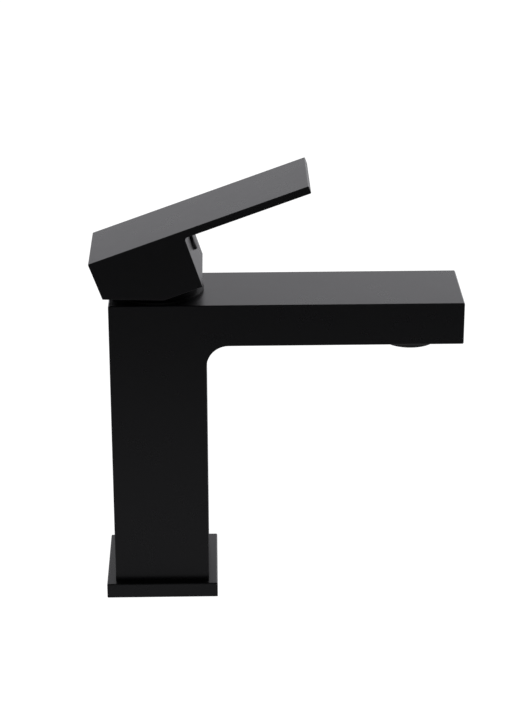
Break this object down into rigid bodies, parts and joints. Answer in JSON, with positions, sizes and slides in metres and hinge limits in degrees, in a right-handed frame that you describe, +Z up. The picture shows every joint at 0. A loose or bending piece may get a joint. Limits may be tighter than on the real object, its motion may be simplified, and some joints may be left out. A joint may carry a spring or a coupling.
{
  "type": "basin mixer tap",
  "caption": "Square single-lever basin mixer with a straight square spout, hollow waterways, ceramic-disc cartridge and a lever that lifts and turns.",
  "frame": {"origin": "centre of the base plate's underside, on the deck", "axes": "+X along the spout, +Z up, +Y to the side"},
  "size_m": [0.1622, 0.05, 0.193],
  "materials": {
    "black_coat": "satin black baked coating",
    "aerator_black": "satin black",
    "seal_rubber": "matt rubber",
    "bare_brass": "machined brass",
    "cartridge_plastic": "moulded plastic",
    "disc_ceramic": "lapped ceramic",
    "plain_steel": "machined steel",
    "black_plastic": "moulded black plastic",
    "aerator_plastic": "moulded plastic"
  },
  "bodies": {
    "tap_body": {"body_casting": "black_coat", "base_flange": "black_coat", "base_gasket": "seal_rubber", "body_o_ring": "seal_rubber", "trim_cap": "black_coat", "cartridge_nut": "bare_brass", "cartridge_housing": "cartridge_plastic", "cartridge_base": "cartridge_plastic", "seat_seals": "seal_rubber", "disc_seals": "seal_rubber", "fixed_disc": "disc_ceramic", "aerator_housing": "aerator_black", "aerator_washer": "seal_rubber", "aerator_strainer": "aerator_plastic", "aerator_insert": "aerator_plastic", "aerator_grid": "aerator_plastic"},
    "turret": {"stem_guide": "cartridge_plastic", "guide_o_ring": "seal_rubber", "pivot_pin": "plain_steel"},
    "lever": {"handle": "black_coat", "handle_insert": "cartridge_plastic", "set_screw": "plain_steel", "screw_plug": "black_plastic", "stem": "bare_brass"},
    "disc_slide": {"disc_carrier": "cartridge_plastic", "moving_disc": "disc_ceramic"}
  },
  "joints": [
    {"name": "temperature_turn", "type": "hinge", "parent": "tap_body", "child": "turret", "pos_m": [0, 0, 0.1414], "axis": [0, 0, 1], "range_deg": [-50, 50]},
    {"name": "flow_lift", "type": "hinge", "parent": "turret", "child": "lever", "pos_m": [0, 0, 0.1414], "axis": [0, -1, 0], "range_deg": [-20, 5]},
    {"name": "disc_travel", "type": "slide", "parent": "turret", "child": "disc_slide", "axis": [1, 0, 0], "range_m": [-0.0043, 0.0011]}
  ],
  "couplings": [
    {"joint": "disc_travel", "follows": "flow_lift", "m_per_rad": 0.011928}
  ]
}
